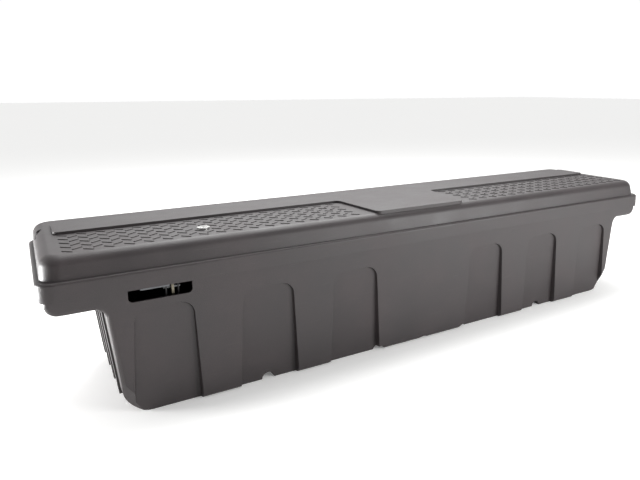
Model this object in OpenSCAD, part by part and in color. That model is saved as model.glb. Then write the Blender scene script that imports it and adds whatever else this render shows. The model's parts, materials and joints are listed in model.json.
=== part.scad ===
// Crossover truck tool box: a deep moulded tub that hangs between a pick-up's bed rails,
// one hinged lid, a slam latch with a key lock, and two gas struts.
// X runs along the box, +Y is the hinge side, +Z is up, and the origin is under the middle.

/* [Tub] */
// Length of the tub's floor, between the feet of its leaning end walls
floor_l = 1494; // [1440:1:1500]
// Depth of the tub's floor, front to back
floor_w = 382; // [376:1:386]
// How far each end wall leans out between the floor and the wings
end_lean = 28; // [20:1:32]
// How far the front and back walls lean out between the floor and the wings
side_lean = 9; // [4:1:10]
// Height of the wings' undersides, which rest on the bed rails
rail_z = 247; // [240:1:252]
// Length of the tub over its wings
wing_l = 1756; // [1740:1:1760]
// Depth of the tub at its rim
rim_w = 402; // [398:1:404]
// Height of the top of the rim
rim_z = 300; // [298:1:302]
// Thickness of the moulded tub wall
wall = 6; // [5:0.5:7]

/* [Lid] */
// Length of the lid over its skirt
lid_l = 1778; // [1772:1:1790]
// Depth of the lid over its skirt
lid_w = 420; // [418:1:424]
// Height of the skirt's lower edge
lid_z = 280; // [278:1:284]
// Height of the skirt band
skirt_h = 38; // [36:1:40]
// Width of the ledge between the skirt and the dome
ledge_w = 8; // [6:1:12]
// Height of the tread panels above the ledge
dome_h = 46; // [42:1:50]
// Height of the raised plateau above the tread panels
plateau_h = 6; // [4:1:9]
// Thickness of the moulded lid wall
lid_wall = 5; // [4:0.5:6]
// How far the lid opens, in degrees
lid_open = 80; // [60:1:85]

/* [Front panels and grooves] */
// Width of a recessed panel at the floor
panel_w = 138; // [120:1:144]
// How much narrower a panel is on each side at its top
panel_taper = 11; // [4:1:16]
// Height of the panels' tops
panel_z = 233; // [220:1:236]
// Depth of a recessed panel
panel_deep = 15; // [8:1:18]
// Radius of a panel's top corners
panel_r = 28; // [15:1:32]
// Half the width of a groove across the underside
groove_half = 15; // [10:1:18]

/* [Hand slot and lock] */
// Middle of the hand slot along the box
slot_x = -669; // [-672:1:-666]
// Length of the hand slot
slot_l = 126; // [120:1:130]
// Height of the slot's lower edge
slot_z = 251.5; // [251:0.5:252]
// Place of the key lock along the box
lock_x = -553; // [-555:1:-550]
// Place of the key lock across the box
lock_y = -105; // [-106:1:-104]

/* [Hinges and struts] */
// Distance of the outer hinges from the middle
hinge_x = 600; // [500:1:620]
// Length of a hinge leaf
leaf_l = 100; // [80:2:110]
// Distance of the struts from the middle
strut_x = 735; // [730:1:736]
// Length of a closed strut between its two eyes
strut_shut = 245; // [240:1:250]
// Length of an open strut between its two eyes
strut_out = 405; // [400:1:408]

/* [Hidden] */
$fn = 48;
big = 4000;

plastic = "#5b5759";
dark_plastic = "#2b2a2b";
rubber = "#1c1c1d";
zinc = "#b9bcbf";
steel = "#8f9296";
black_paint = "#232425";

// Tub
wall_lean = atan(side_lean / rail_z);
end_angle = atan(end_lean / rail_z);
floor_r = 50;
panel_xs = [-664, -438, -212, 212, 438, 664];
grooves = [[-440, 15], [-138, 11], [0, 6], [138, 11], [440, 15]];
flute_ys = [-120, -40, 40, 120];
wing_r = 25;
rim_r = 30;
lip_w = 14;
lip_h = 8;
bolt_x = 835;
bolt_y = 120;
bolt_r = 5.5;

// Lid
ledge_z = lid_z + skirt_h;
tread_z = ledge_z + dome_h;
liner_t = 4;
liner_top = ledge_z - lid_wall;
liner_z = liner_top - liner_t;
boss_xs = [-800, -400, 0, 400, 800];
boss_y = 150;
boss_r = 7;
screw_r = 2.4;

// Hinge line, outside the back of the skirt
hinge_y = lid_w / 2 + 6;
hinge_z = lid_z;
hinge_xs = [-hinge_x, 0, hinge_x];
knuckle_r = 5.5;
hinge_pin_r = 3;
leaf_t = 2.5;
running = 0.05;

// Latch, hung under the lid behind the hand slot
pivot_y = -165;
pivot_z = 292;
pivot_r = 3;
hook_x = -642;
hook_t = 5;
paddle_x0 = -706;
paddle_x1 = -649;
cheek_t = 3;
cheek_x0 = -718;
cheek_x1 = -635;
bar_y = -168;
bar_z = 262;
bar_r = 4;
cam_z = 296;
cam_t = 3;
cam_reach = 95;

// Struts: both eyes lie on one circle about the hinge line, so each strut's own
// direction turns exactly half as fast as the lid does
half_open = lid_open / 2;
ratio = strut_out / strut_shut;
half_shut = atan(sin(half_open) / (ratio - cos(half_open)));
eye_circle = strut_shut / 2 / sin(half_shut);
upper_rise = 5;
upper_angle = asin(upper_rise / eye_circle);
lower_angle = 2 * half_shut - upper_angle;
upper_y = hinge_y - eye_circle * cos(upper_angle);
upper_z = hinge_z + upper_rise;
lower_y = hinge_y - eye_circle * cos(lower_angle);
lower_z = hinge_z - eye_circle * sin(lower_angle);
strut_tilt = atan2(lower_y - upper_y, upper_z - lower_z);
tube_r = 9;
tube_bore = 7.75;
tube_z0 = 18;
tube_l = 190;
rod_r = 4;
eye_r = 8;
stud_r = 4;

// ---------- outlines ----------

module round_rect(l, w, r) {
  square([l - 2 * r, w], center = true);
  square([l, w - 2 * r], center = true);
  for (x = [-1, 1], y = [-1, 1]) translate([x * (l / 2 - r), y * (w / 2 - r)]) circle(r);
}

// Points along an arc about c, in 8 steps
function arc(c, r, from, to) =
  [for (i = [0:8]) let (t = from + (to - from) * i / 8) c + r * [cos(t), sin(t)]];

// A tray's outline: a foot 2*half wide, sides that lean out by `lean` over `over`,
// rounded foot corners, taken `inset` inside its skin and up to height `top`
module tray_outline(half, lean, over, r, inset, top) {
  a = atan(lean / over);
  foot = half + inset * tan(a) - inset / cos(a);
  corner = max(r - inset, 1);
  run = corner / tan((90 + a) / 2);
  rise = top - inset;
  translate([0, inset]) polygon(concat(
    [[foot + rise * tan(a), rise], [-foot - rise * tan(a), rise]],
    arc([run - foot, corner], corner, 180 + a, 270),
    arc([foot - run, corner], corner, 270, 360 - a)
  ));
}

// Stands a side outline up: its first axis along X or along Y, its second up
module face_front(depth) rotate([90, 0, 0]) linear_extrude(depth, center = true) children();
module face_end(depth) rotate([90, 0, 90]) linear_extrude(depth, center = true) children();

// ---------- tub ----------

// Each corner of the foot is cut off by a slanting facet. The facet's plane is given by
// where it meets the corner's three edges: this far up, along the box and across it.
facet = [70, 50, 45];
facet_slopes = [1 / facet[1], 1 / facet[2], 1 / facet[0]];
facet_normal = facet_slopes / norm(facet_slopes);
module corner_facets(inset) {
  for (sx = [0, 1], sy = [0, 1]) mirror([sx, 0, 0]) mirror([0, sy, 0])
    translate([floor_l / 2 - facet[1], floor_w / 2, 0] - inset * [facet_normal[0], facet_normal[1], -facet_normal[2]])
      rotate([0, 0, atan2(facet_normal[1], facet_normal[0])]) rotate([0, 90 + asin(facet_normal[2]), 0])
        translate([-150, -150, 0]) cube([300, 300, 150]);
}

module deep_body(inset, top) {
  difference() {
    deep_tray(inset, top);
    corner_facets(inset);
  }
}

module deep_tray(inset, top) {
  intersection() {
    face_front(big) tray_outline(floor_l / 2, end_lean, rail_z, floor_r, inset, top);
    face_end(big) tray_outline(floor_w / 2, side_lean, rail_z, 14, inset, top);
    linear_extrude(big) round_rect(
      floor_l + 2 * end_lean - 2 * inset, floor_w + 2 * side_lean + 2 - 2 * inset, 45 - inset);
  }
}

module rim_body(inset, top) {
  translate([0, 0, rail_z]) intersection() {
    face_front(big) tray_outline(wing_l / 2, 0, 1, wing_r, inset, top - rail_z);
    face_end(big) tray_outline(rim_w / 2, 0, 1, 8, inset, top - rail_z);
    linear_extrude(big) round_rect(wing_l - 2 * inset, rim_w - 2 * inset, rim_r - inset);
  }
}

// One recessed front panel as a solid whose back face is the floor of the recess
module panel(x, grow) {
  translate([x, -floor_w / 2 + panel_deep + grow, 0]) rotate([wall_lean, 0, 0])
    translate([0, -50, panel_z + grow]) mirror([0, 0, 1]) face_front(100)
      tray_outline(panel_w / 2 - panel_taper + grow, panel_taper, panel_z,
        panel_r + grow, 0, panel_z + grow + 20);
}

module panels(grow) {
  for (x = panel_xs, back = [0, 1]) mirror([0, back, 0]) panel(x, grow);
}

module underside_grooves(grow) {
  for (g = grooves) {
    r = (groove_half * groove_half + g[1] * g[1]) / (2 * g[1]);
    translate([g[0], 0, g[1] - r]) rotate([90, 0, 0]) cylinder(h = big, r = r + grow, center = true);
  }
}

module flutes() {
  for (s = [0, 1], y = flute_ys) mirror([s, 0, 0])
    translate([floor_l / 2, y, 0]) rotate([0, end_angle, 0])
      translate([-2, -7, 70]) cube([6, 14, 160]);
}

module strut_pads() {
  for (s = [0, 1]) mirror([s, 0, 0]) intersection() {
    deep_body(0, rail_z);
    translate([strut_x + 12.5, lower_y - 24, lower_z - 28]) cube([40, 48, 56]);
  }
}

module tub_shell() {
  color(plastic) difference() {
    union() {
      deep_body(0, rail_z + 3);
      rim_body(0, rim_z);
      flutes();
      for (x = hinge_xs) translate([x - leaf_l / 2 - 6, 190, 238]) cube([leaf_l + 12, 20, 37]);
    }
    difference() {
      union() {
        deep_body(wall, rail_z + 30);
        rim_body(wall, rim_z + 1);
      }
      panels(wall);
      underside_grooves(wall);
      strut_pads();
      translate([0, 0, rim_z - lip_h]) linear_extrude(big) difference() {
        round_rect(wing_l + 2, rim_w + 2, rim_r);
        round_rect(wing_l - 2 * lip_w, rim_w - 2 * lip_w, rim_r - lip_w);
      }
    }
    panels(0);
    underside_grooves(0);
    translate([slot_x, -rim_w / 2, (slot_z + 290) / 2]) face_front(30)
      round_rect(slot_l, 290 - slot_z, 9);
    for (x = [-1, 1], y = [-1, 1]) translate([x * bolt_x, y * bolt_y, rail_z - 5])
      cylinder(h = 20, r = bolt_r);
    for (side = [-1, 1]) translate([striker_screw_x(side), striker_y + 0.4, striker_screw_z])
      rotate([90, 0, 0]) cylinder(h = 5, r = screw_r);
    for (x = hinge_xs, dx = leaf_screw_xs)
      translate([x + dx, lid_w / 2 + 1, (tub_leaf_z[0] + tub_leaf_z[1]) / 2]) rotate([90, 0, 0])
        cylinder(h = 7, r = screw_r);
    for (s = [0, 1], p = tub_bracket_screws) mirror([s, 0, 0])
      translate([strut_x + 12, p[0], p[1]]) rotate([0, 90, 0]) cylinder(h = 5, r = screw_r);
  }
}

module rim_seal() {
  color(rubber) translate([0, 0, rim_z]) linear_extrude(liner_z - rim_z - 0.3) difference() {
    round_rect(wing_l - 4, rim_w - 4, rim_r - 2);
    round_rect(wing_l - 24, rim_w - 24, rim_r - 12);
  }
}

// ---------- striker ----------

striker_screw_z = 205;
striker_y = -176.9;
function striker_screw_x(side) = hook_x + side * 22;

module striker_bracket() {
  color(black_paint) difference() {
    union() {
      translate([hook_x - 32, striker_y, 192]) cube([64, 3, 32]);
      for (s = [-1, 1]) translate([hook_x + s * 12.5 - 1.5, 0, 0])
        rotate([90, 0, 90]) linear_extrude(3)
          polygon([[striker_y, 200], [striker_y + 12, 200], [bar_y + 8, bar_z - 4],
            [bar_y + 8, bar_z + 6], [bar_y - 7, bar_z + 6], [striker_y, 240]]);
    }
    translate([hook_x, bar_y, bar_z]) rotate([0, 90, 0]) cylinder(h = 60, r = bar_r, center = true);
    for (s = [-1, 1]) translate([striker_screw_x(s), striker_y - 1, striker_screw_z])
      rotate([-90, 0, 0]) cylinder(h = 6, r = screw_r);
  }
}

module striker_bar() {
  color(steel) translate([hook_x, bar_y, bar_z]) rotate([0, 90, 0])
    cylinder(h = 34, r = bar_r, center = true);
}

module striker_screws() {
  color(zinc) for (s = [-1, 1]) translate([striker_screw_x(s), striker_y + 3, striker_screw_z])
    rotate([90, 0, 0]) {
      translate([0, 0, -2.5]) cylinder(h = 2.5, r = 5);
      cylinder(h = 7.5, r = screw_r);
    }
}

// ---------- hinges ----------

module knuckles(spans) {
  for (s = spans) translate([s[0], hinge_y, hinge_z]) rotate([0, 90, 0])
    cylinder(h = s[1] - s[0], r = knuckle_r);
}

// A hinge leaf: plate, knuckles with the web that joins them to it, bore and screw holes
module hinge_leaf(spans, z0, z1, web_z0, web_z1) {
  plate_y = lid_w / 2;
  difference() {
    union() {
      translate([-leaf_l / 2, plate_y, z0]) cube([leaf_l, leaf_t, z1 - z0]);
      for (s = spans) translate([s[0], plate_y, web_z0])
        cube([s[1] - s[0], leaf_t, web_z1 - web_z0]);
      knuckles(spans);
    }
    translate([0, hinge_y, hinge_z]) rotate([0, 90, 0])
      cylinder(h = leaf_l + 20, r = hinge_pin_r + running, center = true);
    for (x = leaf_screw_xs) translate([x, plate_y - 1, (z0 + z1) / 2]) rotate([-90, 0, 0])
      cylinder(h = leaf_t + 2, r = screw_r);
  }
}

leaf_screw_xs = [-leaf_l / 2 + 12, -leaf_l / 6 + 2, leaf_l / 6 - 2, leaf_l / 2 - 12];
tub_spans = [[-leaf_l / 2, -leaf_l * 0.3 - 0.2], [-leaf_l * 0.1 + 0.2, leaf_l * 0.1 - 0.2],
  [leaf_l * 0.3 + 0.2, leaf_l / 2]];
lid_spans = [[-leaf_l * 0.3 + 0.2, -leaf_l * 0.1 - 0.2], [leaf_l * 0.1 + 0.2, leaf_l * 0.3 - 0.2]];
tub_leaf_z = [244, 273];
lid_leaf_z = [287, 314];

module hinge_leaf_tub(x) {
  color(steel) translate([x, 0, 0])
    hinge_leaf(tub_spans, tub_leaf_z[0], tub_leaf_z[1], tub_leaf_z[1] - 1, hinge_z);
}

module hinge_leaf_lid(x) {
  color(steel) translate([x, 0, 0])
    hinge_leaf(lid_spans, lid_leaf_z[0], lid_leaf_z[1], hinge_z, lid_leaf_z[0] + 1);
}

module hinge_pin(x) {
  color(zinc) translate([x - leaf_l / 2 - 2.2, hinge_y, hinge_z]) rotate([0, 90, 0]) {
    cylinder(h = leaf_l + 4.4, r = hinge_pin_r);
    cylinder(h = 2, r = hinge_pin_r + 1.5);
    translate([0, 0, leaf_l + 2.4]) cylinder(h = 2, r = hinge_pin_r + 1.5);
  }
}

// Screws along every hinge leaf, driven towards -Y from outside
module hinge_screws(z, shank) {
  color(zinc) for (x = hinge_xs, dx = leaf_screw_xs)
    translate([x + dx, lid_w / 2 + leaf_t, z]) rotate([90, 0, 0]) {
      translate([0, 0, -2.2]) cylinder(h = 2.2, r = 4.6);
      cylinder(h = shank, r = screw_r);
    }
}

module hinge_screws_tub() hinge_screws((tub_leaf_z[0] + tub_leaf_z[1]) / 2, leaf_t + 6);
module hinge_screws_lid() hinge_screws((lid_leaf_z[0] + lid_leaf_z[1]) / 2, leaf_t + lid_wall);

// ---------- lid ----------

// How far the dome's ends and sides lean in between the ledge and the tread panels
dome_end_lean = 4;
dome_side_lean = 12;

// The rounded body on the ledge: a tray upside down, with its floor as the top
module dome_body(inset) {
  half_l = lid_l / 2 - ledge_w;
  half_w = lid_w / 2 - ledge_w;
  translate([0, 0, tread_z]) mirror([0, 0, 1]) intersection() {
    face_front(big) tray_outline(half_l - dome_end_lean, dome_end_lean, dome_h, 28, inset, dome_h);
    face_end(big) tray_outline(half_w - dome_side_lean, dome_side_lean, dome_h, 18, inset, dome_h);
    linear_extrude(big) round_rect(2 * half_l + 2 - 2 * inset, 2 * half_w + 2 - 2 * inset, 36 - inset);
  }
}

plateau_x = 844;
plateau_y0 = 5;
plateau_y1 = 114;
centre_x_rear = 156;
centre_x_front = 138;
centre_y = -181;

module plateau_outline(inset) {
  polygon([
    [-plateau_x + inset, plateau_y1 - inset], [plateau_x - inset, plateau_y1 - inset],
    [plateau_x - inset, plateau_y0 + inset], [centre_x_rear - inset, plateau_y0 + inset],
    [centre_x_front - inset, centre_y + inset], [-centre_x_front + inset, centre_y + inset],
    [-centre_x_rear + inset, plateau_y0 + inset], [-plateau_x + inset, plateau_y0 + inset]
  ]);
}

module screw_boss_at() for (x = boss_xs, y = [-1, 1]) translate([x, y * boss_y, 0]) children();

// The boss at the middle of the front meets the plateau, which is higher
module screw_bosses() {
  h = tread_z - liner_top - 2;
  screw_boss_at() translate([0, 0, liner_top]) cylinder(h = h, r = boss_r);
  translate([0, -boss_y, liner_top]) cylinder(h = h + plateau_h, r = boss_r);
}

module lid_shell() {
  color(plastic) difference() {
    union() {
      difference() {
        union() {
          translate([0, 0, lid_z]) linear_extrude(skirt_h) round_rect(lid_l, lid_w, 32);
          dome_body(0);
          translate([0, 0, tread_z - 20]) linear_extrude(20 + plateau_h) plateau_outline(0);
        }
        translate([0, 0, lid_z - 1]) linear_extrude(skirt_h - lid_wall + 1)
          round_rect(lid_l - 2 * lid_wall, lid_w - 2 * lid_wall, 32 - lid_wall);
        translate([0, 0, -lid_wall - 0.01]) dome_body(lid_wall);
        dome_body(lid_wall);
        translate([0, 0, tread_z - 24]) linear_extrude(24 + plateau_h - lid_wall)
          plateau_outline(lid_wall + 1);
      }
      screw_bosses();
    }
    screw_boss_at() translate([0, 0, liner_top - 1]) cylinder(h = 19, r = screw_r);
    translate([lock_x, lock_y, tread_z - 20]) cylinder(h = 40, r = 12);
    for (x = hinge_xs, dx = leaf_screw_xs)
      translate([x + dx, lid_w / 2 + 1, (lid_leaf_z[0] + lid_leaf_z[1]) / 2]) rotate([90, 0, 0])
        cylinder(h = lid_wall + 3, r = screw_r);
  }
}

module lid_liner() {
  color(dark_plastic) translate([0, 0, liner_z]) difference() {
    linear_extrude(liner_t)
      round_rect(lid_l - 2 * lid_wall - 2, lid_w - 2 * lid_wall - 2, 32 - lid_wall - 1);
    screw_boss_at() translate([0, 0, -1]) cylinder(h = liner_t + 2, r = screw_r);
    translate([lock_x, lock_y, -1]) cylinder(h = liner_t + 2, r = 7);
    for (p = latch_screws) translate([p[0], p[1], -1]) cylinder(h = liner_t + 2, r = screw_r);
    for (s = [-1, 1], p = lid_bracket_screws) translate([s * p[0], p[1], -1])
      cylinder(h = liner_t + 2, r = screw_r);
  }
}

module lid_brace(y) {
  color("#a9abad") translate([0, y, liner_top + 10]) rotate([0, 90, 0]) difference() {
    cube([20, 30, 1500], center = true);
    cube([16, 26, 1502], center = true);
  }
}

module liner_screws() {
  color(zinc) screw_boss_at() {
    translate([0, 0, liner_z - 2.2]) cylinder(h = 2.2, r = 4.6);
    translate([0, 0, liner_z]) cylinder(h = 20, r = screw_r);
  }
}

// ---------- latch ----------

latch_screws = [[-706, -142], [-706, -176], [-653, -142], [-653, -176]];

module latch_bracket() {
  x1 = cheek_x1 + cheek_t;
  color(steel) difference() {
    union() {
      translate([cheek_x0, -184, liner_z - cheek_t]) cube([x1 - cheek_x0, 50, cheek_t]);
      for (x = [cheek_x0, cheek_x1]) translate([x, 0, 0]) rotate([90, 0, 90])
        linear_extrude(cheek_t) polygon([
          [-180, liner_z - 1], [-174, pivot_z - 8], [-156, pivot_z - 8], [-142, liner_z - 1]]);
    }
    translate([cheek_x0 - 1, pivot_y, pivot_z]) rotate([0, 90, 0])
      cylinder(h = x1 - cheek_x0 + 2, r = pivot_r);
    for (p = latch_screws) translate([p[0], p[1], liner_z - 10]) cylinder(h = 20, r = screw_r);
  }
}

module latch_bracket_screws() {
  color(zinc) for (p = latch_screws) translate([p[0], p[1], liner_z - cheek_t]) {
    translate([0, 0, -2]) cylinder(h = 2, r = 4.2);
    cylinder(h = cheek_t + liner_t + 5, r = screw_r);
    translate([0, 0, cheek_t + liner_t]) cylinder(h = 3.5, r = 4.6, $fn = 6);
  }
}

module latch_pin() {
  x1 = cheek_x1 + cheek_t;
  color(zinc) translate([cheek_x0 - 1.5, pivot_y, pivot_z]) rotate([0, 90, 0]) {
    cylinder(h = x1 - cheek_x0 + 3, r = pivot_r);
    translate([0, 0, -0.5]) cylinder(h = 2, r = pivot_r + 1.8);
    translate([0, 0, x1 - cheek_x0 + 1.5]) cylinder(h = 2, r = pivot_r + 1.8);
  }
}

// Torsion spring on the lever's sleeve, with one leg up against the bracket
spring_x = -668;
spring_r = 7.6;

module latch_spring() {
  wire = 0.9;
  color(steel) {
    translate([spring_x, pivot_y, pivot_z]) rotate([0, 90, 0]) rotate_extrude()
      for (i = [0:7]) translate([spring_r, i * 1.9 * wire]) circle(wire, $fn = 16);
    translate([spring_x, pivot_y + spring_r, pivot_z])
      cylinder(h = liner_z - cheek_t - pivot_z, r = wire * 0.9, $fn = 16);
  }
}

// Side view of the hook, its eye and the tail that the lock's cam sits under
module hook_outline() {
  difference() {
    union() {
      translate([pivot_y, pivot_z]) circle(9);
      polygon([
        [-174, pivot_z], [-182, 262], [-182, 251], [-177, 251], [-162, 256], [-162, 257.2],
        [-172.6, 257.4], [-172.6, 266], [-162, 284]
      ]);
      polygon([[-165, cam_z + cam_t + 0.3], [-98, cam_z + cam_t + 0.3], [-98, 304], [-163, 304],
        [-165, 301]]);
    }
    translate([pivot_y, pivot_z]) circle(pivot_r + running);
  }
}

module latch_lever() {
  color(zinc) difference() {
    union() {
      translate([hook_x - hook_t / 2, 0, 0]) rotate([90, 0, 90]) linear_extrude(hook_t) hook_outline();
      translate([cheek_x0 + cheek_t + 0.6, pivot_y, pivot_z]) rotate([0, 90, 0])
        cylinder(h = cheek_x1 - cheek_x0 - cheek_t - 1.2, r = 5.5);
    }
    translate([cheek_x0, pivot_y, pivot_z]) rotate([0, 90, 0]) cylinder(h = 100, r = pivot_r + running);
  }
}

// Finger paddle: a saddle under the sleeve, a shelf forward and a lip down behind the slot
module release_paddle() {
  color("#6b696b") difference() {
    translate([paddle_x0, 0, 0]) rotate([90, 0, 90]) linear_extrude(paddle_x1 - paddle_x0)
      polygon([
        [-157, pivot_z], [-157, rivet_z], [-178, rivet_z], [-178, 269], [-185, 269], [-185, 285],
        [-174, 289], [-174, pivot_z]
      ]);
    translate([0, pivot_y, pivot_z]) rotate([0, 90, 0]) cylinder(h = big, r = 5.5, center = true);
    translate([-670, -190, pivot_z - 2.6]) cube([18.5, 60, 20]);
    translate([-661, pivot_y, pivot_z]) rotate([0, 90, 0]) cylinder(h = 17.5, r = 9.3, center = true);
    for (x = rivet_xs) translate([x, pivot_y, 270]) cylinder(h = 30, r = 1.6);
  }
}

rivet_xs = [-700, -680];
rivet_z = 281;

module paddle_rivets() {
  color(zinc) for (x = rivet_xs) translate([x, pivot_y, 0]) {
    translate([0, 0, rivet_z]) cylinder(h = pivot_z - 5.55 - rivet_z, r = 1.6);
    translate([0, 0, rivet_z - 2]) cylinder(h = 2, r = 3);
  }
}

// ---------- key lock ----------

module at_lock(z) translate([lock_x, lock_y, z]) children();

module lock_body() {
  color(zinc) at_lock(tread_z - 30) difference() {
    union() {
      cylinder(h = 30, r = 12);
      translate([0, 0, 30]) cylinder(h = 3.6, r = 14);
    }
    translate([0, 0, -1]) cylinder(h = 50, r = 8 + running);
  }
}

module lock_nut() {
  color(zinc) at_lock(tread_z - lid_wall - 7) difference() {
    cylinder(h = 7, r = 17.5, $fn = 6);
    translate([0, 0, -1]) cylinder(h = 9, r = 12);
  }
}

module lock_plug() {
  color(zinc) at_lock(tread_z - 30) difference() {
    cylinder(h = 33, r = 8);
    translate([-0.7, -4, 27]) cube([1.4, 8, 10]);
  }
}

module lock_spindle() {
  color(steel) at_lock(cam_z - 5) cylinder(h = tread_z - 30 - cam_z + 5, r = 3.5);
}

module spindle_bush() {
  color("#d8d4c8") at_lock(liner_z - 1.5) difference() {
    union() {
      cylinder(h = liner_t + 4, r = 7);
      cylinder(h = 1.5, r = 9);
    }
    translate([0, 0, -1]) cylinder(h = 20, r = 3.5 + running);
  }
}

// The cam points to +Y when the box is unlocked
module lock_cam() {
  color(steel) at_lock(cam_z) difference() {
    union() {
      cylinder(h = cam_t, r = 11);
      translate([-9, 0, 0]) cube([18, cam_reach - 9, cam_t]);
      translate([0, cam_reach - 9, 0]) cylinder(h = cam_t, r = 9);
    }
    translate([0, 0, -1]) cylinder(h = cam_t + 2, r = 3.5);
  }
}

module cam_nut() {
  color(zinc) at_lock(cam_z - 4) difference() {
    cylinder(h = 4, r = 6.5, $fn = 6);
    translate([0, 0, -1]) cylinder(h = 6, r = 3.5);
  }
}

// ---------- gas struts: side is -1 at the left end and 1 at the right ----------

module at_side(side) mirror([side < 0 ? 1 : 0, 0, 0]) children();
module along_strut(side)
  translate([side * strut_x, lower_y, lower_z]) rotate([strut_tilt, 0, 0]) children();
module across(r, x0, x1) translate([x0, 0, 0]) rotate([0, 90, 0]) cylinder(h = x1 - x0, r = r);

// The third screw sits behind the stud, clear of the strut's swing
tub_bracket_screws = [[lower_y - 17, lower_z - 18], [lower_y + 17, lower_z - 18],
  [lower_y + 18, lower_z + 18]];
lid_bracket_screws = [[strut_x + 20, upper_y - 14], [strut_x + 20, upper_y + 14]];

module strut_bracket_tub() {
  color(black_paint) difference() {
    union() {
      translate([strut_x + 9.5, lower_y - 24, lower_z - 26]) cube([3, 48, 52]);
      translate([strut_x, lower_y, lower_z]) {
        across(stud_r, -7, 11);
        across(6, 5.5, 11);
        across(6, -8.5, -6.2);
      }
    }
    for (p = tub_bracket_screws) translate([0, p[0], p[1]]) across(screw_r, strut_x, strut_x + 20);
  }
}

module strut_bracket_screws_tub() {
  color(zinc) for (s = [-1, 1]) at_side(s) for (p = tub_bracket_screws)
    translate([strut_x + 9.5, p[0], p[1]]) {
      across(4.2, -2, 0);
      across(screw_r, 0, 7.5);
    }
}

module strut_bracket_lid() {
  color(black_paint) difference() {
    union() {
      translate([strut_x + 9.5, upper_y - 22, liner_z - 3]) cube([20, 44, 3]);
      translate([strut_x + 9.5, 0, 0]) rotate([90, 0, 90]) linear_extrude(3) polygon([
        [upper_y - 22, liner_z - 1], [upper_y - 8, upper_z - 8], [upper_y + 8, upper_z - 8],
        [upper_y + 22, liner_z - 1]]);
      translate([strut_x, upper_y, upper_z]) {
        across(stud_r, -7, 11);
        across(6, 5.5, 11);
        across(6, -8.5, -6.2);
      }
    }
    for (p = lid_bracket_screws) translate([p[0], p[1], liner_z - 10]) cylinder(h = 20, r = screw_r);
  }
}

module strut_bracket_screws_lid() {
  color(zinc) for (s = [-1, 1]) at_side(s) for (p = lid_bracket_screws)
    translate([p[0], p[1], liner_z - 3]) {
      translate([0, 0, -2]) cylinder(h = 2, r = 4.2);
      cylinder(h = 3 + liner_t + 5, r = screw_r);
      translate([0, 0, 3 + liner_t]) cylinder(h = 3.5, r = 4.6, $fn = 6);
    }
}

eye_half = 5.2;

module strut_eye(z0, z1) {
  difference() {
    union() {
      across(eye_r, -eye_half, eye_half);
      translate([0, 0, z0]) cylinder(h = z1 - z0, r = 5);
    }
    across(stud_r + running, -10, 10);
  }
}

module strut_eye_lower(side) color(dark_plastic) along_strut(side) strut_eye(2, tube_z0);

module strut_eye_upper(side) {
  color(dark_plastic) along_strut(side) translate([0, 0, strut_shut]) strut_eye(-16, -2);
}

module strut_cylinder(side) {
  color(black_paint) along_strut(side) difference() {
    translate([0, 0, tube_z0]) cylinder(h = tube_l, r = tube_r);
    translate([0, 0, tube_z0 + 4]) cylinder(h = tube_l, r = tube_bore);
  }
}

module strut_gland(side) {
  color(dark_plastic) along_strut(side) translate([0, 0, tube_z0 + tube_l - 12]) difference() {
    cylinder(h = 12, r = tube_bore);
    translate([0, 0, -1]) cylinder(h = 14, r = rod_r + running);
  }
}

module strut_rod(side) {
  color(zinc) along_strut(side) translate([0, 0, 26]) cylinder(h = strut_shut - 16 - 26, r = rod_r);
}

module strut_piston(side) {
  color(steel) along_strut(side) translate([0, 0, 26]) difference() {
    cylinder(h = 8, r = tube_bore - running);
    translate([0, 0, -1]) cylinder(h = 10, r = rod_r);
  }
}

// ---------- nodes ----------

tub_shell();
rim_seal();
striker_bracket();
striker_bar();
striker_screws();
hinge_leaf_tub(-hinge_x);  // hinge_leaf_tub_left
hinge_leaf_tub(0);  // hinge_leaf_tub_centre
hinge_leaf_tub(hinge_x);  // hinge_leaf_tub_right
hinge_leaf_lid(-hinge_x);  // hinge_leaf_lid_left
hinge_leaf_lid(0);  // hinge_leaf_lid_centre
hinge_leaf_lid(hinge_x);  // hinge_leaf_lid_right
hinge_pin(-hinge_x);  // hinge_pin_left
hinge_pin(0);  // hinge_pin_centre
hinge_pin(hinge_x);  // hinge_pin_right
hinge_screws_tub();
hinge_screws_lid();
lid_shell();
lid_liner();
lid_brace(-35);  // lid_brace_front
lid_brace(105);  // lid_brace_rear
liner_screws();
latch_bracket();
latch_bracket_screws();
latch_pin();
latch_spring();
latch_lever();
release_paddle();
paddle_rivets();
lock_body();
lock_nut();
lock_plug();
lock_spindle();
spindle_bush();
lock_cam();
cam_nut();
at_side(-1) strut_bracket_tub();  // strut_bracket_tub_left
at_side(1) strut_bracket_tub();  // strut_bracket_tub_right
at_side(-1) strut_bracket_lid();  // strut_bracket_lid_left
at_side(1) strut_bracket_lid();  // strut_bracket_lid_right
strut_bracket_screws_tub();
strut_bracket_screws_lid();
strut_eye_lower(-1);  // strut_eye_lower_left
strut_eye_lower(1);  // strut_eye_lower_right
strut_cylinder(-1);  // strut_cylinder_left
strut_cylinder(1);  // strut_cylinder_right
strut_gland(-1);  // strut_gland_left
strut_gland(1);  // strut_gland_right
strut_rod(-1);  // strut_rod_left
strut_rod(1);  // strut_rod_right
strut_piston(-1);  // strut_piston_left
strut_piston(1);  // strut_piston_right
strut_eye_upper(-1);  // strut_eye_upper_left
strut_eye_upper(1);  // strut_eye_upper_right
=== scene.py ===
# %% [markdown]
# # A moulded truck tool box
# This notebook dresses a long crossover tool box that spans a pick-up's bed. The tub and the lid
# are rotational mouldings: powdered polyethylene is melted against the inside of a turning metal
# mould, so walls have one thickness, every edge is soft, and the skin has a fine matt grain.
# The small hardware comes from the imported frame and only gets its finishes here.

# %% Load the frame
import json
import math

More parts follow.
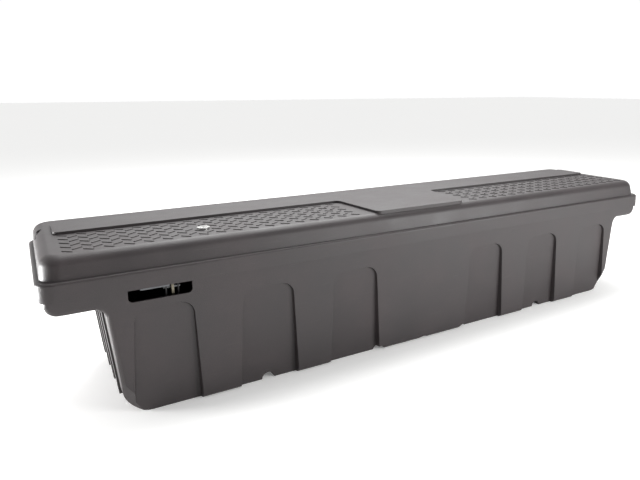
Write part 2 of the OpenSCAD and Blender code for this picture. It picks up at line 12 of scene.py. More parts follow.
import bmesh
import bpy
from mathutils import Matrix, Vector

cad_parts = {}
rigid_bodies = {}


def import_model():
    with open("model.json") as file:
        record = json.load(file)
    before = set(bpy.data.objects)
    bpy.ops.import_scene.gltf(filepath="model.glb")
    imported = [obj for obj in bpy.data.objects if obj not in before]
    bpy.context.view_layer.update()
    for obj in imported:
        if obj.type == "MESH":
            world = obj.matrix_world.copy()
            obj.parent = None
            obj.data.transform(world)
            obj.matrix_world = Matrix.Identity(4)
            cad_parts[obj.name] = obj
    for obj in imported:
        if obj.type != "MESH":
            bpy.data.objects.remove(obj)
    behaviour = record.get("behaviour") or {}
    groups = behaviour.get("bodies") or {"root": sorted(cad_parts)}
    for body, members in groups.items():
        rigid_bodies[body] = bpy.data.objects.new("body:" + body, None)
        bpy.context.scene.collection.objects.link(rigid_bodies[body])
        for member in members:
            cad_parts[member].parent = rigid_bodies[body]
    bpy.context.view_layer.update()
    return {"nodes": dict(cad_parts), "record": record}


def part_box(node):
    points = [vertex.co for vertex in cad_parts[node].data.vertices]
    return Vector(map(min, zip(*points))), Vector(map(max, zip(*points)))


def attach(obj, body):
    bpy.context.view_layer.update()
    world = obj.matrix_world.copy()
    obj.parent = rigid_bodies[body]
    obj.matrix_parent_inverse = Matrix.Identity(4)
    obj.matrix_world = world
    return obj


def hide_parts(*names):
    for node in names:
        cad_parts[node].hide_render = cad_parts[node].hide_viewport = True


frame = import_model()
record = frame["record"]
MM = 0.001

# %% [markdown]
# ## Helpers
# An operator works on everything that is selected, so each step starts from an empty selection and
# picks its faces or edges by where they are. These helpers keep that short.

# %% Selecting
def deselect_all():
    """Object mode with nothing selected."""
    if bpy.context.mode != "OBJECT":
        bpy.ops.object.mode_set(mode="OBJECT")
    bpy.ops.object.select_all(action="DESELECT")


def make_active(piece):
    deselect_all()
    piece.select_set(True)
    bpy.context.view_layer.objects.active = piece


def choose(piece, kind, test):
    """Edit mode with only the faces or edges selected that pass the test.
    A face is tested on its middle and normal, an edge on its middle and direction."""
    make_active(piece)
    bpy.ops.object.mode_set(mode="EDIT")
    bpy.ops.mesh.select_mode(type=kind)
    bpy.ops.mesh.select_all(action="DESELECT")
    grid = bmesh.from_edit_mesh(piece.data)
    if kind == "FACE":
        for face in grid.faces:
            face.select_set(bool(test(face.calc_center_median(), face.normal)))
    else:
        for edge in grid.edges:
            a, b = (v.co for v in edge.verts)
            edge.select_set(bool(test((a + b) / 2, (b - a).normalized())))
    grid.select_flush_mode()
    bmesh.update_edit_mesh(piece.data)


def near(a, b, gap=1.5 * MM):
    return abs(a - b) < gap


# %% Blocks, bevels and cuts
def block(name, low, high, turn=(0, 0, 0)):
    """A box between two corners, turned about its own middle."""
    deselect_all()
    middle = [(a + b) / 2 for a, b in zip(low, high)]
    size = [b - a for a, b in zip(low, high)]
    bpy.ops.mesh.primitive_cube_add(size=1, location=middle, rotation=turn, scale=size)
    piece = bpy.context.object
    piece.name = name
    piece.data.name = name
    bpy.ops.object.transform_apply(location=True, rotation=True, scale=True)
    return piece


def rod(name, middle, radius, length, turn=(0, 0, 0), sides=48):
    deselect_all()
    bpy.ops.mesh.primitive_cylinder_add(
        vertices=sides, radius=radius, depth=length, location=middle, rotation=turn
    )
    piece = bpy.context.object
    piece.name = name
    bpy.ops.object.transform_apply(location=True, rotation=True, scale=True)
    return piece


def round_off(radius, steps, clamp=True):
    """Rounds the selected edges."""
    bpy.ops.mesh.bevel(
        offset=radius, segments=steps, profile=0.5, affect="EDGES", clamp_overlap=clamp
    )


def apply(piece, kind, **settings):
    """Adds a modifier, sets it up and applies it."""
    make_active(piece)
    bpy.ops.object.modifier_add(type=kind)
    modifier = piece.modifiers[-1]
    for name, value in settings.items():
        setattr(modifier, name, value)
    bpy.ops.object.modifier_apply(modifier=modifier.name)


def combine(piece, tool, how="DIFFERENCE"):
    """Cuts the tool out of the piece, or welds it on, and throws the tool away."""
    apply(piece, "BOOLEAN", object=tool, operation=how, solver="EXACT")
    bpy.data.objects.remove(tool)


def soften_edges(piece, radius, steps, angle=35):
    """Rounds every edge that is still sharp, and lets flat faces keep flat shading."""
    apply(
        piece, "BEVEL", width=radius, segments=steps, limit_method="ANGLE",
        angle_limit=math.radians(angle), use_clamp_overlap=True, miter_outer="MITER_ARC",
    )


def shade(piece, angle=40):
    make_active(piece)
    bpy.ops.object.shade_smooth_by_angle(angle=math.radians(angle))
    apply(piece, "WEIGHTED_NORMAL", keep_sharp=True, weight=60)


# %% [markdown]
# ## The tub's form
# The tub hangs between the bed rails, and a wing at each end rests on a rail. By hand this starts
# as one block whose foot is made smaller, so that all four walls lean out. Its top is raised by the
# height of the rim band, and the band's ends are pulled out to make the wings.
# A rotational moulding has one wall thickness everywhere. So the same steps make the outside and,
# with every face moved in by the wall, the space inside, which is cut out of it afterwards.

# %% Measure the tub
tub_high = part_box("tub_shell")[1]
wing_x = tub_high.x
rim_z = tub_high.z
rail_z = 247 * MM
floor_x, floor_y = 747 * MM, 191 * MM
rail_x, rim_y = 775 * MM, 201 * MM
tub_wall = 6 * MM
foot_r, fillet_r, wing_r, face_r = 50 * MM, 20 * MM, 25 * MM, 11 * MM
wall_lean = math.atan((rim_y - floor_y) / rim_z)
print("tub", 2 * wing_x, "m long and", rim_z, "m high")


# %% Block out the tub
def tub_block(name, wall):
    """The leaning block with its two wings, each face moved in by the wall."""
    half_x, half_y = rail_x - wall, rim_y - wall
    form = block(name, (-half_x, -half_y, wall), (half_x, half_y, rim_z - wall))
    choose(form, "FACE", lambda c, n: n.z < -0.9)
    bpy.ops.transform.resize(value=(1, (floor_y - wall) / (rim_y - wall), 1))
    bpy.ops.mesh.select_all(action="SELECT")
    bpy.ops.mesh.bisect(plane_co=(0, 0, rail_z + wall), plane_no=(0, 0, 1))
    choose(form, "FACE", lambda c, n: n.z < -0.9)
    bpy.ops.transform.resize(value=((floor_x - wall) / (rail_x - wall), 1, 1))
    choose(form, "FACE", lambda c, n: abs(n.x) > 0.99 and c.z > rail_z)
    bpy.ops.mesh.extrude_region_move(TRANSFORM_OT_translate={"value": (0, 0, 0)})
    bpy.ops.transform.resize(value=((wing_x - wall) / (rail_x - wall), 1, 1))
    bpy.ops.mesh.select_all(action="SELECT")
    bpy.ops.mesh.dissolve_limited(angle_limit=math.radians(1))
    deselect_all()
    return form


# %% [markdown]
# The long edges that run front to back are rounded first: the foot of each end wall, the fillet
# under each wing, and each wing's lower edge. The rim of the front and back faces is then one chain
# of edges, and gets one radius, which keeps the mesh clean at the corners.

# %% Round the tub's profile
def round_tub(form, wall):
    """Rounds the block: an outer radius shrinks by the wall on the inside, and the fillet grows."""
    for x, z, radius, steps in (
        (floor_x - wall, wall, foot_r - wall, 9),
        (rail_x - wall, rail_z + wall, fillet_r + wall, 6),
        (wing_x - wall, rail_z + wall, wing_r - wall, 7),
    ):
        choose(form, "EDGE", lambda c, d: abs(d.y) > 0.9 and near(abs(c.x), x) and near(c.z, z))
        round_off(radius, steps)

    def on_face_rim(c, d):
        share = (c.z - wall) / (rim_z - 2 * wall)
        lean_y = floor_y - wall + (rim_y - floor_y) * share
        return abs(d.y) < 0.25 and near(abs(c.y), lean_y, 1 * MM) and c.z < rim_z - wall - 1 * MM

    choose(form, "EDGE", on_face_rim)
    round_off(face_r - wall, 5, clamp=False)
    deselect_all()


tub, tub_space = tub_block("tub", 0), tub_block("tub_space", tub_wall)
round_tub(tub, 0)
round_tub(tub_space, tub_wall)
outer_faces, inner_faces = len(tub.data.polygons), len(tub_space.data.polygons)
print("tub rounded:", outer_faces, "faces outside,", inner_faces, "inside")

# %% [markdown]
# ## Panels and grooves
# Six panels are sunk into the front, and six into the back. They are open at the foot, lean with
# the wall, and are narrower at the top. Each is cut with a tool that is shaped like the hollow, and
# a tool that is larger by the wall leaves the raised shape that shows inside the tub.
# Five round-bottomed grooves cross the underside in the same way.

# %% Cut the panels
panel_xs = [side * x * MM for side in (-1, 1) for x in (212, 438, 664)]
panel_top, panel_deep = 233 * MM, 15 * MM
panel_foot, panel_head, panel_corner = 69 * MM, 58 * MM, 28 * MM
panel_lean = wall_lean + math.atan(9 * MM / panel_top)  # so a panel is only 6 mm deep at its top


def panel_tool(x, side, wall):
    """The hollow of one panel: side is -1 for the front and 1 for the back. It is shaped with the
    foot of the hollow's floor at the origin, then leant with the wall and put in its place."""
    head = panel_head + wall
    tool = block("panel_tool", (-head, -45 * MM, -30 * MM), (head, 0, panel_top + wall))
    choose(tool, "FACE", lambda c, n: n.z < -0.9)
    bpy.ops.transform.resize(value=((panel_foot + wall) / head, 1, 1))
    choose(tool, "EDGE", lambda c, d: abs(d.y) > 0.9 and c.z > 0)
    round_off(panel_corner + wall, 7)
    # the hollow opens a little towards its mouth, so that the moulding leaves its mould
    choose(tool, "FACE", lambda c, n: n.y < -0.9)
    bpy.ops.transform.resize(value=(1.15, 1, 1.15))
    make_active(tool)
    tool.rotation_euler = (panel_lean, 0, math.pi if side > 0 else 0)
    tool.location = (x, side * (floor_y - panel_deep - wall), 0)
    bpy.ops.object.transform_apply(location=True, rotation=True, scale=True)
    return tool


for form, wall in ((tub, 0), (tub_space, tub_wall)):
    for x in panel_xs:
        for side in (-1, 1):
            combine(form, panel_tool(x, side, wall))
print("panels cut:", len(tub.data.polygons), "faces")

# %% Cut the grooves
groove_half, groove_len = 15 * MM, 600 * MM
across = (math.pi / 2, 0, 0)
for x, depth in ((-440, 15), (-138, 11), (0, 6), (138, 11), (440, 15)):
    radius = (groove_half**2 + (depth * MM) ** 2) / (2 * depth * MM)
    for form, wall in ((tub, 0), (tub_space, tub_wall)):
        place = (x * MM, 0, depth * MM - radius)
        combine(form, rod("groove_tool", place, radius + wall, groove_len, across))
print("grooves cut:", len(tub.data.polygons), "faces")

# %% [markdown]
# Each corner of the foot is cut off by a slanting facet, so that the box can be let down between
# the wheel arches without catching. A large block is turned until one of its faces lies in the
# facet's plane. The plane is given by where it meets the corner's three edges.

# %% Cut the foot's corners
facet_up, facet_along, facet_across = 70 * MM, 50 * MM, 45 * MM
cutter = 300 * MM
for form, wall in ((tub, 0), (tub_space, tub_wall)):
    for side_x in (-1, 1):
        for side_y in (-1, 1):
            normal = Vector((side_x / facet_along, side_y / facet_across, -1 / facet_up))
            normal.normalize()
            on_plane = Vector((side_x * (floor_x - facet_along), side_y * floor_y, 0))
            place = on_plane + normal * (cutter / 2 - wall)
            deselect_all()
            bpy.ops.mesh.primitive_cube_add(
                size=cutter, location=place, rotation=normal.to_track_quat("Z", "Y").to_euler()
            )
            combine(form, bpy.context.object)
print("corners cut:", len(tub.data.polygons), "faces")

# %% [markdown]
# ## Ribs and pads
# Ribs stiffen the end walls. They are welded on while the tub is still one solid, because a boolean
# is surest between simple forms. Inside, flat pads carry the struts' brackets.

# %% Weld on the ribs and pads
end_lean = math.atan((rail_x - floor_x) / rail_z)
rib_w, rib_proud, rib_len, rib_z = 24 * MM, 4 * MM, 200 * MM, 128 * MM
for side in (-1, 1):
    for y in (-120, -40, 40, 120):
        middle_x = side * (floor_x + (rail_x - floor_x) * rib_z / rail_z)
        low = (middle_x - rib_proud, y * MM - rib_w / 2, rib_z - rib_len / 2)
        high = (middle_x + rib_proud, y * MM + rib_w / 2, rib_z + rib_len / 2)
        rib = block("rib", low, high, (0, side * end_lean, 0))
        choose(rib, "EDGE", lambda c, d: abs(d.x) > 0.9)
        round_off(9 * MM, 4)
        combine(tub, rib, "UNION")

# a pad inside the tub is a piece that its space leaves out
for side in (-1, 1):
    ends = sorted((side * 747.5 * MM, side * (floor_x + 40 * MM)))
    pad = block("pad", (ends[0], 122 * MM, 55 * MM), (ends[1], 170 * MM, 111 * MM))
    combine(tub_space, pad)
print("tub formed:", len(tub.data.polygons), "faces")

# %% [markdown]
# ## Hollow the tub
# The space inside is cut out, and then a mouth through the top that is smaller than the space,
# which leaves the flange that the seal sits on. The hand slot and the bolt holes come last.

# %% Hollow the tub
lip = 14 * MM
combine(tub, tub_space)
mouth_x, mouth_y = wing_x - lip, rim_y - lip
mouth_low, mouth_high = rim_z - 2 * tub_wall, rim_z + 20 * MM
mouth = block("mouth_tool", (-mouth_x, -mouth_y, mouth_low), (mouth_x, mouth_y, mouth_high))
choose(mouth, "EDGE", lambda c, d: abs(d.z) > 0.9)
round_off(8 * MM, 4)
combine(tub, mouth)
print("tub hollowed:", len(tub.data.polygons), "faces")

# %% Cut the hand slot and the bolt holes
slot_x, slot_half, slot_z = -669 * MM, 63 * MM, 251.5 * MM
slot_low = (slot_x - slot_half, -220 * MM, slot_z)
slot = block("slot_tool", slot_low, (slot_x + slot_half, -180 * MM, 290 * MM))
choose(slot, "EDGE", lambda c, d: abs(d.y) > 0.9)
round_off(9 * MM, 6)
combine(tub, slot)
for x in (-835, 835):
    for y in (-120, 120):
        combine(tub, rod("bolt_tool", (x * MM, y * MM, rail_z), 5.5 * MM, 40 * MM, sides=24))
print("tub cut:", len(tub.data.polygons), "faces")

# %% [markdown]
# The edges that are still sharp are meant to be rounded together. As it stands this does almost
# nothing on the tub: the cuts left four very short edges, and a clamped bevel is only as wide as the
# shortest edge lets it be. Merging those points before the bevel is the cure to try.
# The flat pads behind the hinges are welded on afterwards with their own rounding: as islands in the
# big back face they would upset its bevel. This weld leaves the tub's mesh with open edges.

# %% Soften what is still sharp
soften_edges(tub, 3 * MM, 3)
hinge_boxes = [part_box(f"hinge_leaf_tub_{place}") for place in ("left", "centre", "right")]
pad_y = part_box("hinge_leaf_tub_left")[0].y
for low, high in hinge_boxes:
    pad_low = (low.x - 5 * MM, rim_y - 3.5 * MM, low.z - 5 * MM)
    pad = block("pad", pad_low, (high.x + 5 * MM, pad_y, 275 * MM))
    soften_edges(pad, 2 * MM, 3)
    combine(tub, pad, "UNION")
shade(tub)
print("tub finished:", len(tub.data.polygons), "faces")
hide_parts("tub_shell")
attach(tub, "tub")

# %% [markdown]
# ## The lid
# The lid is a second moulding. A skirt band drops over the tub's rim, a narrow ledge runs round
# above it, and a rounded body stands on the ledge. Two blocks with rounded edges give that form,
# and the same two blocks, smaller by the wall, are cut out of it from below.

# %% Block out the lid
lid_low, lid_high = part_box("lid_shell")
lid_wall = 5 * MM
skirt_x, skirt_y, skirt_r = 889 * MM, 210 * MM, 32 * MM
ledge_z, ledge_w = 318 * MM, 8 * MM
tread_z, dome_r, dome_edge_r = 364 * MM, 36 * MM, 20 * MM
dome_end_lean, dome_side_lean = 4 * MM, 12 * MM


def rounded_block(name, low, high, corner_r, edge_r, top=(1, 1)):
    """A block with round corners in plan, a top resized in X and Y, and a rounded edge round it."""
    form = block(name, low, high)
    choose(form, "FACE", lambda c, n: n.z > 0.9)
    bpy.ops.transform.resize(value=(top[0], top[1], 1))
    choose(form, "EDGE", lambda c, d: abs(d.z) > 0.8)
    round_off(corner_r, 9)
    choose(form, "EDGE", lambda c, d: near(c.z, high[2], 0.1 * MM))
    round_off(edge_r, 7)
    deselect_all()
    return form


def pocket_tool(wall):
    """The thumb scoop in the rear of the left end, larger by the wall for the inside."""
    low = (-20 * MM, -36 * MM - wall, -7 * MM - wall)
    high = (20 * MM, 36 * MM + wall, 7 * MM + wall)
    tool = block("pocket_tool", low, high)
    choose(tool, "EDGE", lambda c, d: abs(d.x) > 0.9)
    round_off(6.9 * MM + wall, 6)
    make_active(tool)
    tool.rotation_euler = (math.radians(12), math.radians(35), math.radians(-14))
    tool.location = (-889 * MM + wall, 62 * MM, 362 * MM)
    bpy.ops.object.transform_apply(location=True, rotation=True, scale=True)
    return tool


def lid_form(name, wall):
    """Skirt and rounded body as one solid, each face moved in by the wall."""
    foot = lid_low.z - (20 * MM if wall else 0)
    form = rounded_block(
        name, (-skirt_x + wall, -skirt_y + wall, foot),
        (skirt_x - wall, skirt_y - wall, ledge_z - wall), skirt_r - wall, 6 * MM - wall,
    )
    body_x, body_y = skirt_x - ledge_w - wall, skirt_y - ledge_w - wall
    body = rounded_block(
        "rounded_body", (-body_x, -body_y, ledge_z - 12 * MM), (body_x, body_y, tread_z - wall),
        dome_r - wall, dome_edge_r - wall,
        (1 - dome_end_lean / body_x, 1 - dome_side_lean / body_y),
    )
    combine(form, body, "UNION")
    combine(form, pocket_tool(wall))
    return form


lid = lid_form("lid", 0)
lid_space = lid_form("lid_space", lid_wall)
print("lid blocked out:", len(lid.data.polygons), "faces")

# %% [markdown]
# A raised plate in the shape of a T stiffens the top: a bar along the hinge side, and a block in
# the middle that runs to the front. It starts as the bar. Two cuts mark off the middle, and its
# front face is pulled forward.

# %% Add the raised centre
plateau_high = lid_high.z
plateau = block("plateau", (-844 * MM, 5 * MM, 345 * MM), (844 * MM, 114 * MM, plateau_high))
for x in (-156, 156):
    choose(plateau, "FACE", lambda c, n: True)
    bpy.ops.mesh.bisect(plane_co=(x * MM, 0, 0), plane_no=(1, 0, 0))
choose(plateau, "FACE", lambda c, n: n.y < -0.9 and abs(c.x) < 100 * MM)
bpy.ops.mesh.extrude_region_move(TRANSFORM_OT_translate={"value": (0, -186 * MM, 0)})
bpy.ops.transform.resize(value=(138 / 156, 1, 1))
bpy.ops.mesh.select_all(action="SELECT")
bpy.ops.mesh.dissolve_limited(angle_limit=math.radians(1))
choose(plateau, "EDGE", lambda c, d: abs(d.z) > 0.9)
round_off(12 * MM, 6)
combine(lid, plateau, "UNION")
print("lid with its plateau:", len(lid.data.polygons), "faces")

# %% Hollow the lid and bore the lock hole
combine(lid, lid_space)
lock_low, lock_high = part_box("lock_body")
lock_x, lock_y = (lock_low.x + lock_high.x) / 2, (lock_low.y + lock_high.y) / 2
combine(lid, rod("lock_hole", (lock_x, lock_y, tread_z), 11 * MM, 40 * MM, sides=40))
soften_edges(lid, 2.5 * MM, 3)
shade(lid)
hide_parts("lid_shell")
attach(lid, "lid")
print("lid finished:", len(lid.data.polygons), "faces")

# %% [markdown]
# ## Tread bars
# The two flats beside the raised centre carry a diamond-plate pattern: short raised bars, every
# other row turned the other way, that stop a boot or a tool from sliding off. One bar is modelled
# as a low block with round ends and a soft top. Array copies it along a row and then across.

# %% Lay the tread
bar_l, bar_w, bar_h = 23 * MM, 4.4 * MM, 1.5 * MM
step_x, step_y, rows_y = 37.5 * MM, 37 * MM, -158 * MM


def tread_set(name, first, turn, columns, rows):
    """Rows of bars that are all turned the same way, from the first one's middle."""
    bars = block(name, (-bar_l / 2, -bar_w / 2, -bar_h), (bar_l / 2, bar_w / 2, bar_h))
    choose(bars, "EDGE", lambda c, d: abs(d.z) > 0.9)
    round_off(bar_w * 0.49, 3)
    choose(bars, "EDGE", lambda c, d: near(c.z, bar_h, 0.1 * MM))
    round_off(bar_h * 0.7, 2)
    make_active(bars)
    bars.rotation_euler = (0, 0, math.radians(turn))
    bars.location = (first[0], first[1], tread_z)
    bpy.ops.object.transform_apply(location=True, rotation=True, scale=True)
    for count, step in ((columns, (step_x, 0, 0)), (rows, (0, step_y, 0))):
        apply(
            bars, "ARRAY", count=count, use_relative_offset=False,
            use_constant_offset=True, constant_offset_displace=step,
        )
    return bars


treads = []
for side, start_x in (("left", -828 * MM), ("right", 191 * MM)):
    tread = tread_set("tread_bars_" + side, (start_x, rows_y), -41, 18, 5)
    other = tread_set("tread_bars_other", (start_x + step_x / 2, rows_y + 18 * MM), 38, 17, 4)
    make_active(tread)
    other.select_set(True)
    bpy.ops.object.join()
    treads.append(tread)

# the lock's bezel needs flat ground, so the bars under it go
choose(treads[0], "FACE", lambda c, n: math.hypot(c.x - lock_x, c.y - lock_y) < 17 * MM)
bpy.ops.mesh.select_linked()
bpy.ops.mesh.delete(type="FACE")
deselect_all()
for tread in treads:
    shade(tread)
    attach(tread, "lid")
    print(tread.name, len(tread.data.polygons), "faces")

# %% [markdown]
# ## Finishes
# Every finish starts from one Principled shader. Colours are written as sRGB hex, as in a paint
# chart, and turned to the linear values that the shader works in.

# %% Colour and node helpers
def linear(code, alpha=1.0):
    """The linear colour of an sRGB hex value."""
    parts = [int(code[i : i + 2], 16) / 255 for i in (1, 3, 5)]
    return [p / 12.92 if p <= 0.04045 else ((p + 0.055) / 1.055) ** 2.4 for p in parts] + [alpha]


def add_node(tree, kind, inputs=None, **settings):
    """Adds a node, sets its options, and sets or links its inputs."""
    node = tree.nodes.new(kind)
    for name, value in settings.items():
        setattr(node, name, value)
    for name, value in (inputs or {}).items():
        if isinstance(value, bpy.types.NodeSocket):
            tree.links.new(value, node.inputs[name])
        else:
            node.inputs[name].default_value = value
    return node


def start_finish(name, **constants):
    """A new material with its shader's constant values, and its Object coordinates."""
    finish = bpy.data.materials.new(name)
    finish.use_nodes = True
    tree = finish.node_tree
    shader = tree.nodes["Principled BSDF"]
    for socket, value in constants.items():
        shader.inputs[socket.replace("_", " ")].default_value = value
    place = add_node(tree, "ShaderNodeTexCoord").outputs["Object"]
    return finish, tree, shader, place


def ramp_of(tree, factor, stops):
    """A colour ramp through (position, hex) stops."""
    ramp = add_node(tree, "ShaderNodeValToRGB", {"Fac": factor})
    while len(ramp.color_ramp.elements) < len(stops):
        ramp.color_ramp.elements.new(0.5)
    for element, (position, code) in zip(ramp.color_ramp.elements, stops):
        element.position = position
        element.color = linear(code)
    return ramp.outputs["Color"]


# %% [markdown]
# ### Moulded polyethylene
# Rotationally moulded polyethylene is waxy and matt, dark grey all the way through. The mould's
# blasted surface leaves a fine grain, drawn about 2 mm wide so that it shows, and faint, palm-sized
# clouds of lighter and darker grey come from the melt. Handling leaves short pale scuffs.

# %% Mix the moulded polyethylene
def moulded_polyethylene():
    finish, tree, shader, place = start_finish("moulded polyethylene", IOR=1.5)
    # the scales are counts in a metre: clouds of 111 mm, a grain of 1.6 mm and pebbles of 2.4 mm
    clouds = add_node(
        tree, "ShaderNodeTexNoise", {"Vector": place, "Scale": 9, "Detail": 4, "Roughness": 0.55}
    )
    grain = add_node(
        tree, "ShaderNodeTexNoise", {"Vector": place, "Scale": 620, "Detail": 3, "Roughness": 0.6}
    )
    pebble = add_node(tree, "ShaderNodeTexVoronoi", {"Vector": place, "Scale": 420})
    stretch = add_node(
        tree, "ShaderNodeMapping",
        {"Vector": place, "Rotation": (0.2, 0.1, 0.5), "Scale": (6, 60, 60)},
    )
    scuff = add_node(
        tree, "ShaderNodeTexNoise",
        {"Vector": stretch.outputs["Vector"], "Scale": 2.2, "Detail": 5, "Roughness": 0.7,
         "Distortion": 0.6},
    )
    scuff_mask = add_node(
        tree, "ShaderNodeMapRange",
        {"Value": scuff.outputs["Fac"], "From Min": 0.62, "From Max": 0.78,
         "To Min": 0, "To Max": 0.35},
    )
    greys = ((0.32, "#2c2728"), (0.52, "#312b2c"), (0.72, "#373031"))
    base = ramp_of(tree, clouds.outputs["Fac"], greys)
    speck = ramp_of(tree, grain.outputs["Fac"], ((0.35, "#d2d2d2"), (0.65, "#ffffff")))
    # a colour mix has its factor at input 0, its colours at 6 and 7, and its result at output 2
    mixed = add_node(
        tree, "ShaderNodeMix", {0: 0.6, 6: base, 7: speck}, data_type="RGBA", blend_type="MULTIPLY"
    )
    worn = add_node(
        tree, "ShaderNodeMix",
        {0: scuff_mask.outputs["Result"], 6: mixed.outputs[2], 7: linear("#4a4646")},
        data_type="RGBA",
    )
    tree.links.new(worn.outputs[2], shader.inputs["Base Color"])
    rough = add_node(
        tree, "ShaderNodeMapRange",
        {"Value": clouds.outputs["Fac"], "From Min": 0.3, "From Max": 0.7,
         "To Min": 0.44, "To Max": 0.56},
    )
    tree.links.new(rough.outputs["Result"], shader.inputs["Roughness"])
    pebble_bump = add_node(
        tree, "ShaderNodeBump",
        {"Height": pebble.outputs["Distance"], "Strength": 0.25, "Distance": 0.4 * MM},
    )
    grain_bump = add_node(
        tree, "ShaderNodeBump",
        {"Height": grain.outputs["Fac"], "Strength": 0.35, "Distance": 0.4 * MM,
         "Normal": pebble_bump.outputs["Normal"]},
    )
    tree.links.new(grain_bump.outputs["Normal"], shader.inputs["Normal"])
    return finish


poly = moulded_polyethylene()
print("mixed:", poly.name)

# %% [markdown]
# ### Plastics and rubber
# The other plastics share one recipe: a slow change of shade, a fine grain cut into the mould, and
# a little change of gloss. What differs is the shade, the gloss and the size of the grain. A grain
# finer than about half a millimetre wouldn't show, so none is drawn finer than that.

# %% A recipe for plastics
def plastic_finish(name, dark, light, roughness, grain, relief):
    """A moulded plastic or rubber between two shades, with a grain of a size in metres."""
    finish, tree, shader, place = start_finish(name, IOR=1.5)
    shade_noise = add_node(tree, "ShaderNodeTexNoise", {"Vector": place, "Scale": 22, "Detail": 4})
    colour = ramp_of(tree, shade_noise.outputs["Fac"], ((0.35, dark), (0.68, light)))
    gloss = add_node(
        tree, "ShaderNodeMapRange",
        {"Value": shade_noise.outputs["Fac"], "From Min": 0.3, "From Max": 0.7,
         "To Min": roughness - 0.06, "To Max": roughness + 0.06},
    )
    cells = add_node(tree, "ShaderNodeTexVoronoi", {"Vector": place, "Scale": 1 / grain})
    bump = add_node(
        tree, "ShaderNodeBump",
        {"Height": cells.outputs["Distance"], "Strength": 0.4, "Distance": relief},
    )
    tree.links.new(colour, shader.inputs["Base Color"])
    tree.links.new(gloss.outputs["Result"], shader.inputs["Roughness"])
    tree.links.new(bump.outputs["Normal"], shader.inputs["Normal"])
    return finish


# the liner is vacuum-formed sheet with a haircell grain, softer and a little browner than the lid
liner = plastic_finish(
    "vacuum-formed ABS liner", "#343234", "#3d3b3c", 0.55, 1.6 * MM, 0.2 * MM
)
# EPDM foam seal: nearly black, dull, with an open skin
rubber = plastic_finish("EPDM foam rubber", "#1a1a1b", "#242425", 0.78, 0.9 * MM, 0.25 * MM)
# glass-filled nylon of the strut ends and glands: black with a slight sheen
strut_nylon = plastic_finish(
    "glass-filled nylon", "#1d1e20", "#292a2c", 0.42, 0.7 * MM, 0.06 * MM
)
# unfilled nylon of the bush: milky, with a waxy gloss
bush_nylon = plastic_finish("natural nylon", "#cfcabb", "#dedacd", 0.38, 0.8 * MM, 0.04 * MM)
# the finger paddle is a mid-grey polypropylene moulding with a spark-eroded texture
paddle = plastic_finish(
    "spark-textured polypropylene", "#5d5f63", "#6b6d70", 0.5, 0.8 * MM, 0.12 * MM
)
print("plastics:", [plastic.name for plastic in (liner, rubber, strut_nylon, bush_nylon, paddle)])

# %% [markdown]
# ### Metals
# A metal's colour is the colour of its reflection, and most of what tells one metal from another is
# how its surface was worked. Rolled and drawn parts have lines along their length, plated parts
# have a faint cloudiness, and turned parts have rings. So the recipe stretches one noise by
# different amounts along X, Y and Z.

# %% A recipe for metals
def metal_finish(name, dark, light, roughness, line, relief):
    """A bare or plated metal: line is the size in metres of its marks along X, Y and Z."""
    finish, tree, shader, place = start_finish(name, Metallic=1.0)
    stretched = add_node(
        tree, "ShaderNodeMapping", {"Vector": place, "Scale": [1 / size for size in line]}
    )
    marks = add_node(
        tree, "ShaderNodeTexNoise",
        {"Vector": stretched.outputs["Vector"], "Scale": 1, "Detail": 3, "Roughness": 0.6},
    )
    cloud = add_node(tree, "ShaderNodeTexNoise", {"Vector": place, "Scale": 60, "Detail": 3})
    colour = ramp_of(tree, cloud.outputs["Fac"], ((0.3, dark), (0.7, light)))
    gloss = add_node(
        tree, "ShaderNodeMapRange",
        {"Value": marks.outputs["Fac"], "From Min": 0.3, "From Max": 0.7,
         "To Min": max(roughness - 0.08, 0.03), "To Max": roughness + 0.08},
    )
    bump = add_node(
        tree, "ShaderNodeBump", {"Height": marks.outputs["Fac"], "Strength": 0.3, "Distance": relief}
    )
    tree.links.new(colour, shader.inputs["Base Color"])
    tree.links.new(gloss.outputs["Result"], shader.inputs["Roughness"])
    tree.links.new(bump.outputs["Normal"], shader.inputs["Normal"])
    return finish


# bright zinc plate is bluish, with a soft cloudiness and no grain direction
zinc = metal_finish(
    "bright zinc plate", "#a9aeb4", "#c2c6ca", 0.34,
    (3 * MM, 3 * MM, 3 * MM), 0.05 * MM,
)
# the latch hook gets a darker, rougher copy of the zinc plate than the other plated parts
dull_zinc = metal_finish(
    "dulled zinc plate", "#7d786c", "#97917f", 0.5,
    (3 * MM, 3 * MM, 3 * MM), 0.08 * MM,
)
# the hinge leaves are brushed stainless strip, with lines along X
stainless = metal_finish(
    "brushed stainless steel", "#a5a4a1", "#bcbab6", 0.3,
    (30 * MM, 0.6 * MM, 0.6 * MM), 0.04 * MM,
)
# bright cold-drawn steel, slightly oily and darker than stainless
drawn_steel = metal_finish(
    "cold-drawn steel", "#8f9093", "#a8a9aa", 0.36,
    (8 * MM, 1 * MM, 1 * MM), 0.05 * MM,
)
# hard chrome on the strut rods is nearly a mirror
chrome = metal_finish(
    "hard chrome", "#cfd2d5", "#dfe1e3", 0.09,
    (4 * MM, 4 * MM, 4 * MM), 0.01 * MM,
)
# the lock is die-cast zinc with a satin nickel plate
nickel = metal_finish(
    "satin nickel plate", "#bdbdbb", "#d2d2d0", 0.3,
    (2 * MM, 2 * MM, 6 * MM), 0.04 * MM,
)
# the braces are mill-finish aluminium extrusions, with die lines along X
aluminium = metal_finish(
    "mill-finish aluminium", "#b2b4b6", "#c6c8c9", 0.38,
    (60 * MM, 0.9 * MM, 0.9 * MM), 0.05 * MM,
)
metals = (zinc, dull_zinc, stainless, drawn_steel, chrome, nickel, aluminium)
print("metals:", [metal.name for metal in metals])


